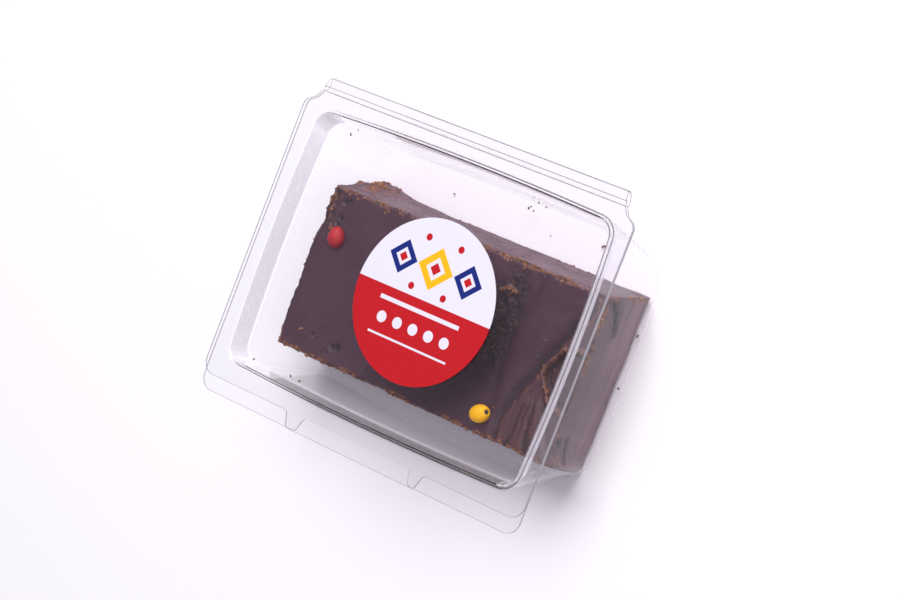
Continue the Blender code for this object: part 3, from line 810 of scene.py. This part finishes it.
def slab_point(u, v, w, inset):
    """A point of the slab's skin with how rough, crumbly and brown it is, and how much shade and
    light are painted on it.
    """
    corners = [Vector(base).lerp(Vector(top), w) for base, top in zip(FUDGE_BASE, FUDGE_TOP)]
    flat = corners[0].lerp(corners[1], u).lerp(corners[3].lerp(corners[2], u), v)
    low = FUDGE_LOW_Z + FUDGE_FOOT_RISE * (1 - inset)
    height = low + (FUDGE_TOP_Z - low) * w
    place = Vector((flat.x, flat.y, height))
    edge = max(abs(2 * u - 1), abs(2 * v - 1)) ** 6
    outward = Vector((2 * u - 1, 2 * v - 1)) * edge * (
        noise.noise(Vector((flat.x, flat.y, height * 0.3)) * 90) * 0.00035
        + noise.noise(Vector((flat.x, flat.y, height * 0.3)) * 260) * 0.00008)
    # The crumbly foot that stands out behind the left end
    foot = math.exp(-((u - 0.045) / 0.062) ** 2) * smooth_step(v, 0.8, 1.0)
    lump = noise.fractal(place * 170, 0.8, 2.1, 3)
    outward.y += (0.0026 + 0.0012 * lump) * foot * (1 - smooth_step(w, 0.45, 0.85))
    outward.x -= 0.0012 * math.sin(math.pi * v) * (1 - u) ** 8
    outward.x += 0.0030 * hump(flat.y, 0.0105, 0.0022) * (1 - u) ** 40 * 0.35
    outward.x += 0.0028 * math.exp(-(v / 0.08) ** 2) * w * u ** 12
    rough = crumbly = brown = dark_patches_and_painted_shade = painted_light = 0.0
    rim = min(min(u, 1 - u) * SLAB_LENGTH, min(v, 1 - v) * SLAB_WIDTH)
    inward = Vector((0, 0))
    if u in (0, 1):
        inward.x = 1 - 2 * u
    if v in (0, 1):
        inward.y = 1 - 2 * v
    chips = noise.fractal(place * 480, 0.7, 2.2, 3)
    patch = smooth_step(noise.noise(Vector((flat.x, flat.y, 0.05)) * 110), -0.45, 0.25)
    if min(v, 1 - v) * SLAB_WIDTH >= min(u, 1 - u) * SLAB_LENGTH:
        side_share = 0.6
    elif v > 0.5:
        side_share = 1.0 + 0.6 * smooth_step(u, 0.55, 0.65)
    else:
        side_share = 1.0
    if w == 1:
        relief, rough, crumbly, brown, dark_patches_and_painted_shade = top_relief(flat.x, flat.y)
        height += relief
        for (pit_x, pit_y), radius, depth in PITS:
            apart = math.hypot(flat.x - pit_x, flat.y - pit_y)
            apart *= 1 + 0.3 * noise.noise(place * 900)
            if apart < 3 * radius:
                height -= 0.7 * depth * hump(apart, 0, radius)
                # Painted shade in the pits
                dark_patches_and_painted_shade = max(dark_patches_and_painted_shade, hump(apart, 0, radius))
        width = 0.0005 + 0.0011 * patch
        near = 1 - smooth_step(rim, 0.0, width)
        height -= near * (0.00022 + 0.00075 * max(chips + 0.1, 0.0)) * (0.5 + side_share)
        at_rim = 1 - smooth_step(rim, 0.3 * width, 1.2 * width)
        chipped = smooth_step(chips, -0.40, 0.10) * (0.35 + 0.65 * patch)
        crumbly = max(crumbly, min(side_share, 1.0) * at_rim * chipped)
        corner = smooth_step(-flat.x, 0.0525, 0.0575) * smooth_step(flat.y, 0.0080, 0.0150)
        rough = max(rough, corner)
        height += corner * 0.00035 * chips
        # Painted shade in the rough corner's low spots
        dark_patches_and_painted_shade = max(dark_patches_and_painted_shade, corner * 0.7 * smooth_step(-chips, -0.1, 0.3))
        crumbly = max(crumbly, corner * 0.5 * smooth_step(chips, 0.1, 0.4))
        # Painted shade in the chips of the torn rim
        dark_patches_and_painted_shade = max(dark_patches_and_painted_shade, near * smooth_step(-chips, 0.05, 0.40) * 0.8)
        tear = edge_tear(place, 0.0) * side_share
        fade = 1 - smooth_step(rim, 0.0, 0.0020)
        towards = Vector((
            math.copysign(max(1 - min(u, 1 - u) * SLAB_LENGTH / 0.002, 0.0), 0.5 - u),
            math.copysign(max(1 - min(v, 1 - v) * SLAB_WIDTH / 0.002, 0.0), 0.5 - v)))
        outward += towards * tear * fade
        brown = max(brown, 0.45 * (1 - smooth_step(rim, 0.0, 0.0022)) * patch)
    else:
        depth = (1 - w) * (FUDGE_TOP_Z - low)
        foot_height = w * (FUDGE_TOP_Z - low)
        if v in (0, 1):
            # The knife drags the long sides sideways and leaves fine level streaks
            drag = swell(flat.x * 40, flat.y, height * 560)
            drag += 0.6 * swell(flat.x * 140, 3.0, height * 1400)
            grain = noise.fractal(place * 420, 0.9, 2.1, 3)
            outward -= inward * (0.00015 * drag + 0.00009 * grain)
            rough = 0.45
            # Painted light: the hinge side, which faces the lamp, is paler, and the front side is
            # not
            painted_light = v * (0.70 + 0.45 * swell(flat.x * 60, 1.0, height * 420))
            hole = smooth_step(swell(flat.x * 260, 8.0, height * 420), 0.50, 0.72) * v
            outward += inward * 0.00035 * hole
            # Painted shade in the holes
            dark_patches_and_painted_shade = 0.7 * hole
            crumbly = 0.8 * foot * (1 - smooth_step(w, 0.5, 0.9)) * smooth_step(lump, -0.1, 0.35)
        if u in (0, 1):
            sweep = swell(flat.x, flat.y * 190, height * 40)
            reflection_streaks = swell(2.0, flat.y * 35, height * 420)
            grain = noise.fractal(place * 380, 0.9, 2.1, 3)
            outward -= inward * (0.00014 * sweep + 0.00005 * grain)
            rough = max(rough, 0.05)
            # Painted reflection and light: the ends are paler, most toward the foot, in faint
            # streaks
            painted_reflection_low = (0.45 + 0.5 * reflection_streaks) * smooth_step(w, 0.80, 0.30)
            painted_light = max(painted_light, 0.32 + 0.15 * sweep + painted_reflection_low)
        if u == 1:
            for line, radius, sink in END_MARKS:
                apart = abs(side_of_line(line, flat.y, height))
                apart *= 1 + 0.5 * noise.noise(place * 700)
                if apart < 3 * radius:
                    ragged = 0.75 + 0.6 * noise.noise(place * 1100)
                    outward += inward * sink * hump(apart, 0, radius) * ragged
                    # Painted shade in the end's pits and slit
                    dark_patches_and_painted_shade = max(dark_patches_and_painted_shade, hump(apart, 0, 1.15 * radius) * min(ragged + 0.3, 1.0))
            corner_tear = hump(side_of_line(TORN_CORNER, flat.y, height), 0, 0.0006)
            crumbly = max(crumbly, corner_tear * smooth_step(chips, -0.4, 0.1))
            back = 1 - smooth_step((1 - v) * SLAB_WIDTH, 0.0004, 0.0024)
            top_corner = 1 - smooth_step(math.hypot((1 - v) * SLAB_WIDTH, depth), 0.0010, 0.0040)
            crumbly = max(crumbly, 0.9 * max(back, top_corner) * smooth_step(chips, -0.3, 0.2))
            # Painted shade in the crumbled top corner
            dark_patches_and_painted_shade = max(dark_patches_and_painted_shade, 0.6 * top_corner * smooth_step(-chips, 0.0, 0.4))
        near = 1 - smooth_step(depth, 0.0002, 0.0007 + 0.0022 * patch)
        foot_near = 1 - smooth_step(foot_height, 0.0, 0.0014)
        outward += inward * edge_tear(place, depth) * side_share
        at_rim = max(near, 0.7 * foot_near * patch)
        crumbly = max(crumbly, min(side_share, 1.0) * at_rim * smooth_step(chips, -0.35, 0.15))
        # Painted shade in the torn chips under the top edge
        dark_patches_and_painted_shade = max(dark_patches_and_painted_shade, 0.8 * near * smooth_step(-chips, 0.05, 0.4))
        brown = max(brown, 0.5 * near * patch)
    middle = Vector(SLAB_MIDDLE)
    point = Vector((flat.x + outward.x, flat.y + outward.y, height))
    if inset:
        point.xy = point.xy + (middle - point.xy).normalized() * 0.0018 * inset
    return keep_inside_tub(point), rough, crumbly, brown, dark_patches_and_painted_shade, painted_light


deselect_all()
bpy.ops.mesh.primitive_grid_add(x_subdivisions=TOP_CELLS[0], y_subdivisions=TOP_CELLS[1], size=1.0)
slab = bpy.context.object
slab.name = "fudge_slab"
bpy.ops.object.mode_set(mode="EDIT")
bpy.ops.mesh.select_all(action="SELECT")
bpy.ops.mesh.region_to_loop()
for row in range(SIDE_ROWS + 1):
    bpy.ops.mesh.extrude_edges_move(TRANSFORM_OT_translate={"value": (0, 0, -1 / SIDE_ROWS)})
bpy.ops.mesh.edge_face_add()
bpy.ops.object.mode_set(mode="OBJECT")
skin = {name: [] for name in ("rough", "crumbly", "brown", "dark_patches_and_painted_shade", "painted_light")}
for vert in slab.data.vertices:
    u, v = (min(max(round(part + 0.5, 6), 0), 1) for part in vert.co.xy)
    w = round(1 + vert.co.z, 5)
    point, *shares = slab_point(u, v, max(w, 0.0), 1.0 if w < -0.001 else 0.0)
    vert.co = point
    for name, value in zip(skin, shares):
        skin[name].append(value)
for name, values in skin.items():
    slab.data.attributes.new(name, "FLOAT", "POINT").data.foreach_set("value", values)
finish_mesh(slab, 80)

# Chocolate fudge: fat and fine sugar crystals, so waxy, dark brown with a purple cast that is the
# cool light's tint painted into it, and paler and more orange where it crumbles
fudge, tree = new_material("chocolate_fudge")
coordinates = add_node(tree, "TexCoord").outputs["Object"]
roughness_here, crumble_here, brown_here, painted_shade_here, painted_light_here = (
    add_node(tree, "Attribute", attribute_name=name).outputs["Fac"] for name in skin)
cloud = add_node(tree, "TexNoise", {"Vector": coordinates, "Scale": 55.0, "Detail": 3.0})
tone = add_node(tree, "Mix", {
    0: cloud, 6: linear("#341d2b"), 7: linear("#442636")}, data_type="RGBA")
patches = add_node(tree, "TexNoise", {
    "Vector": coordinates, "Scale": 420.0, "Detail": 4.0, "Roughness": 0.7})
# Random dark patches on rough ground, joined with the shade painted in the slab's pits, grooves and
# hollows
dark_patches_and_painted_shade = add_node(tree, "MapRange", {0: patches, 1: 0.42, 2: 0.58, 3: 0.0, 4: 0.7})
dark_patches_and_painted_shade = add_node(tree, "Math", {0: dark_patches_and_painted_shade, 1: roughness_here}, operation="MULTIPLY")
dark_patches_and_painted_shade = add_node(tree, "Math", {0: dark_patches_and_painted_shade, 1: painted_shade_here}, operation="MAXIMUM")
# Painted shade in cracks: dark lines along a cell pattern on rough ground, with no cracks in the
# mesh
painted_crack_shade = add_node(tree, "TexVoronoi", {
    "Vector": coordinates, "Scale": 480.0}, feature="DISTANCE_TO_EDGE")
painted_crack_shade = add_node(tree, "MapRange", {0: painted_crack_shade, 1: 0.02, 2: 0.10, 3: 0.8, 4: 0.0})
painted_crack_shade = add_node(tree, "Math", {0: painted_crack_shade, 1: roughness_here}, operation="MULTIPLY")
crumble = add_node(tree, "MapRange", {0: patches, 1: 0.35, 2: 0.60, 3: 0.45, 4: 1.0})
crumble = add_node(tree, "Math", {0: crumble_here, 1: crumble}, operation="MULTIPLY")
flecks = add_node(tree, "TexNoise", {"Vector": coordinates, "Scale": 1500.0, "Detail": 1.0})
flecks = add_node(tree, "MapRange", {0: flecks, 1: 0.72, 2: 0.79, 3: 0.0, 4: 0.7})
tone = tone.outputs[2]
# Layers of colour: painted light, brown, dark patches with painted shade, painted crack shade,
# orange crumbs and pale specks
for share, colour in (
        (painted_light_here, "#7c616b"), (brown_here, "#523031"), (dark_patches_and_painted_shade, "#1f1119"), (painted_crack_shade, "#1a0d15"),
        (crumble, "#8e5b45"), (flecks, "#8f7468")):
    laid = add_node(tree, "Mix", {0: share, 6: tone, 7: linear(colour)}, data_type="RGBA")
    tone = laid.outputs[2]
grain = add_node(tree, "TexNoise", {
    "Vector": coordinates, "Scale": 1300.0, "Detail": 4.0, "Roughness": 0.65})
coarse = add_node(tree, "Math", {0: roughness_here, 1: crumble_here}, operation="MAXIMUM")
coarse = add_node(tree, "Math", {0: coarse, 1: 0.05}, operation="ADD")
grain = add_node(tree, "Math", {0: grain, 1: coarse}, operation="MULTIPLY")
relief = add_node(tree, "Bump", {"Height": grain, "Strength": 0.6, "Distance": 0.00028})
sheen = add_node(tree, "MapRange", {0: cloud, 1: 0.3, 2: 0.7, 3: 0.46, 4: 0.60})
matt = add_node(tree, "Math", {0: painted_shade_here, 1: 0.9}, operation="MULTIPLY")
matt = add_node(tree, "Math", {0: sheen, 1: matt}, operation="MAXIMUM")
finish = add_node(tree, "BsdfPrincipled", {
    "Base Color": tone, "Roughness": matt, "Specular IOR Level": 0.33, "Normal": relief})
add_node(tree, "OutputMaterial", {"Surface": finish})
slab.data.materials.append(fudge)
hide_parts("fudge")
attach(slab, "base")

# The crumbs
# Bits of the same fudge, torn off by the knife: hundreds stick to the slab's edges, a few lie in
# the tub or cling to the lid. One crumb is modelled and copied at random sizes and turns.

CRUMB_SEED = 7
EDGE_CRUMBS = 1500
FOOT_CRUMBS = 130
TOP_CRUMBS = 90
TAN_SHARE = 0.50

# Fudge torn open: matt and browner than a cut face, and tan where the sugar has dried
crumb_colour, tree = new_material("fudge_crumb")
coordinates = add_node(tree, "TexCoord").outputs["Object"]
mottle = add_node(tree, "TexNoise", {"Vector": coordinates, "Scale": 900.0, "Detail": 3.0})
tan_here = add_node(tree, "Attribute", attribute_name="tan").outputs["Fac"]
tone = add_node(tree, "Mix", {
    0: mottle, 6: linear("#4c2f2b"), 7: linear("#6b4437")}, data_type="RGBA")
tone = add_node(tree, "Mix", {
    0: tan_here, 6: tone.outputs[2], 7: linear("#a47355")}, data_type="RGBA")
grain = add_node(tree, "Bump", {"Height": mottle, "Strength": 0.5, "Distance": 0.0002})
finish = add_node(tree, "BsdfPrincipled", {
    "Base Color": tone.outputs[2], "Roughness": 0.75, "Specular IOR Level": 0.25, "Normal": grain})
add_node(tree, "OutputMaterial", {"Surface": finish})

deselect_all()
bpy.ops.mesh.primitive_ico_sphere_add(subdivisions=1, radius=1.0)
crumb = bpy.context.object
for vert in crumb.data.vertices:
    vert.co *= 1 + 0.45 * noise.noise(vert.co * 1.7 + Vector((3, 1, 4)))
crumb_points = [vert.co.copy() for vert in crumb.data.vertices]
crumb_faces = [tuple(face.vertices) for face in crumb.data.polygons]
bpy.ops.object.delete()


def scatter_crumbs(name, spots, body):
    """Copies of the crumb as one mesh, each at (place, radius, tan), turned and stretched."""
    points, faces, tan = [], [], []
    for place, radius, share in spots:
        turned = Matrix.Rotation(chance.uniform(0, math.tau), 3, Vector((
            chance.uniform(-1, 1), chance.uniform(-1, 1), chance.uniform(-1, 1.01))))
        stretch = Vector([chance.uniform(0.6, 1.4) for axis in range(3)])
        faces += [tuple(index + len(points) for index in face) for face in crumb_faces]
        points += [place + turned @ (point * stretch) * radius for point in crumb_points]
        tan += [share] * len(crumb_points)
    mesh = bpy.data.meshes.new(name)
    mesh.from_pydata(points, [], faces)
    mesh.attributes.new("tan", "FLOAT", "POINT").data.foreach_set("value", tan)
    mesh.materials.append(crumb_colour)
    piece = bpy.data.objects.new(name, mesh)
    bpy.context.collection.objects.link(piece)
    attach(piece, body)


chance = random.Random(CRUMB_SEED)
torn_spots = [
    vert.co.copy() for vert, value in zip(slab.data.vertices, skin["crumbly"])
    if value > 0.42 and vert.co.z > 0.0022]
edge_spots = [
    (place, 0.00012 + 0.00042 * chance.random() ** 2.0, TAN_SHARE * chance.random() * 1.7)
    for place in chance.sample(torn_spots, EDGE_CRUMBS)]
foot_spots = [
    place for place in torn_spots if place.x < -0.044 and place.y > 0.0235 and place.z < 0.0235]
edge_spots += [
    (place, chance.uniform(0.00020, 0.00065), chance.uniform(0.1, 0.9))
    for place in chance.choices(foot_spots, k=FOOT_CRUMBS)]
# Tan flakes that the knife pulled up along the hinge side's edge
for x, y, count in (
        (-0.0362, 0.0205, 7), (-0.0291, 0.0209, 9), (-0.0512, 0.0215, 5), (-0.0462, 0.0212, 5),
        (0.0150, 0.0212, 7), (0.0255, 0.0210, 9), (0.0405, 0.0208, 9), (0.0530, 0.0205, 8)):
    for index in range(count):
        place = Vector((
            x + chance.uniform(-0.0024, 0.0024), y + chance.uniform(-0.0004, 0.0012),
            FUDGE_TOP_Z + top_relief(x, y)[0] - 0.0003))
        edge_spots.append((place, chance.uniform(0.00025, 0.00060), chance.uniform(0.4, 1.0)))
# Loose single crumbs on the top, at the places that the photograph shows
for x, y, radius, share in (
        (-0.0513, -0.0263, 0.00055, 0.8), (-0.0505, -0.0259, 0.00035, 0.7),
        (0.0315, -0.0235, 0.00040, 0.7), (0.0460, -0.0255, 0.00035, 0.9),
        (0.0482, -0.0260, 0.00035, 0.8), (0.0411, 0.0024, 0.00032, 0.9),
        (-0.0546, 0.0087, 0.00075, 0.45), (-0.0550, 0.0098, 0.00050, 0.7),
        (0.0470, -0.0050, 0.00030, 0.9), (0.0478, -0.0082, 0.00025, 0.9),
        (0.0495, -0.0075, 0.00028, 0.7), (0.0212, -0.0120, 0.00022, 0.8)):
    place = Vector((x, y, FUDGE_TOP_Z + top_relief(x, y)[0] + radius * 0.4))
    edge_spots.append((place, radius, share))
for index in range(TOP_CRUMBS):
    x, y = chance.uniform(-0.057, 0.056), chance.uniform(-0.032, 0.0215)
    place = Vector((x, y, FUDGE_TOP_Z + top_relief(x, y)[0]))
    edge_spots.append((place, chance.uniform(0.00008, 0.00018), 0.7))
scatter_crumbs("slab_crumbs", edge_spots, "base")
scatter_crumbs("tub_crumbs", [(Vector((x, y, z)), radius, 0.25) for x, y, z, radius in (
    (0.0042, 0.0385, 0.0036, 0.0005), (0.0026, 0.0388, 0.0045, 0.0004),
    (0.0323, 0.0358, 0.0008, 0.0005), (0.0572, 0.0136, 0.0022, 0.0006),
    (0.0578, -0.0041, 0.0026, 0.0004), (0.0120, 0.0330, 0.0007, 0.0003),
    (-0.0300, 0.0340, 0.0007, 0.0003))], "base")
under_panel = [
    (Vector((x, y, panel_z - SHEET - radius * 0.5)), radius, 0.35) for x, y, radius in (
        (-0.0490, 0.0426, 0.0004), (-0.0513, 0.0403, 0.0005), (0.0560, 0.0369, 0.0006),
        (-0.0557, -0.0408, 0.0004), (-0.0389, -0.0406, 0.0004), (-0.0347, -0.0409, 0.0004),
        (0.0277, 0.0420, 0.0004), (0.0309, 0.0415, 0.0003), (0.0255, 0.0400, 0.0003))]
scatter_crumbs("lid_crumbs", under_panel, "lid")

# The candies
# Two sugar-shelled chocolate chips pressed into the fudge, egg-shaped, pan-coated in shiny sugar.
# The yellow one has a chip out of its shell that shows the chocolate.

CANDY_STAND = 0.0008


def make_candy(name, centre, half_sizes, turn, narrowing, chip, shell_code, dust_code):
    """An egg-shaped sweet: narrower at its +Y end, with one chip given as (direction, radius)."""
    deselect_all()
    bpy.ops.mesh.primitive_uv_sphere_add(segments=64, ring_count=40, radius=1.0)
    candy = bpy.context.object
    candy.name = name
    bare = []
    for vert in candy.data.vertices:
        spot = vert.co.copy()
        width = 1 - narrowing * spot.y
        out = Vector((spot.x * width, spot.y, spot.z * width)) * (1 + 0.012 * noise.noise(spot * 3))
        chipped = 0.0
        if chip:
            apart = (spot - Vector(chip[0]).normalized()).length
            chipped = 1 - smooth_step(apart, chip[1] * 0.85, chip[1])
            out *= 1 - 0.09 * chipped
        vert.co = Vector(out[axis] * half_sizes[axis] for axis in range(3))
        bare.append(chipped)
    candy.data.attributes.new("bare", "FLOAT", "POINT").data.foreach_set("value", bare)
    height = FUDGE_TOP_Z + top_relief(*centre)[0] + CANDY_STAND
    turned = Matrix.Rotation(math.radians(turn), 4, "Z")
    candy.data.transform(Matrix.Translation((*centre, height)) @ turned)
    finish_mesh(candy, 60)
    # Panned sugar, rubbed by the pack: bright and even, satin more than glossy, dusty in places
    shell, tree = new_material(name + "_sugar_shell")
    coordinates = add_node(tree, "TexCoord").outputs["Object"]
    speckle = add_node(tree, "TexNoise", {"Vector": coordinates, "Scale": 1400.0, "Detail": 3.0})
    dust = add_node(tree, "MapRange", {0: speckle, 1: 0.55, 2: 0.75, 3: 0.0, 4: 0.35})
    tone = add_node(tree, "Mix", {
        0: dust, 6: linear(shell_code), 7: linear(dust_code)}, data_type="RGBA")
    bare_here = add_node(tree, "Attribute", attribute_name="bare").outputs["Fac"]
    tone = add_node(tree, "Mix", {
        0: bare_here, 6: tone.outputs[2], 7: linear("#2b2829")}, data_type="RGBA")
    relief = add_node(tree, "Bump", {"Height": speckle, "Strength": 0.15, "Distance": 0.00008})
    finish = add_node(tree, "BsdfPrincipled", {
        "Base Color": tone.outputs[2], "Roughness": 0.55, "Specular IOR Level": 0.3,
        "Normal": relief})
    add_node(tree, "OutputMaterial", {"Surface": finish})
    candy.data.materials.append(shell)
    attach(candy, "base")
    return candy


red_candy = make_candy(
    "red_candy", (-0.0505, 0.0066), (0.0030, 0.0037, 0.0026), 12.0, 0.10, None,
    "#a61624", "#7f262d")
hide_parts("candy_red")
yellow_candy = make_candy(
    "yellow_candy", (0.0279, -0.0272), (0.0037, 0.0030, 0.0026), 25.0, 0.0,
    ((0.93, 0.05, 0.36), 0.33),
    "#fbb900", "#e39a00")
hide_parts("candy_yellow")
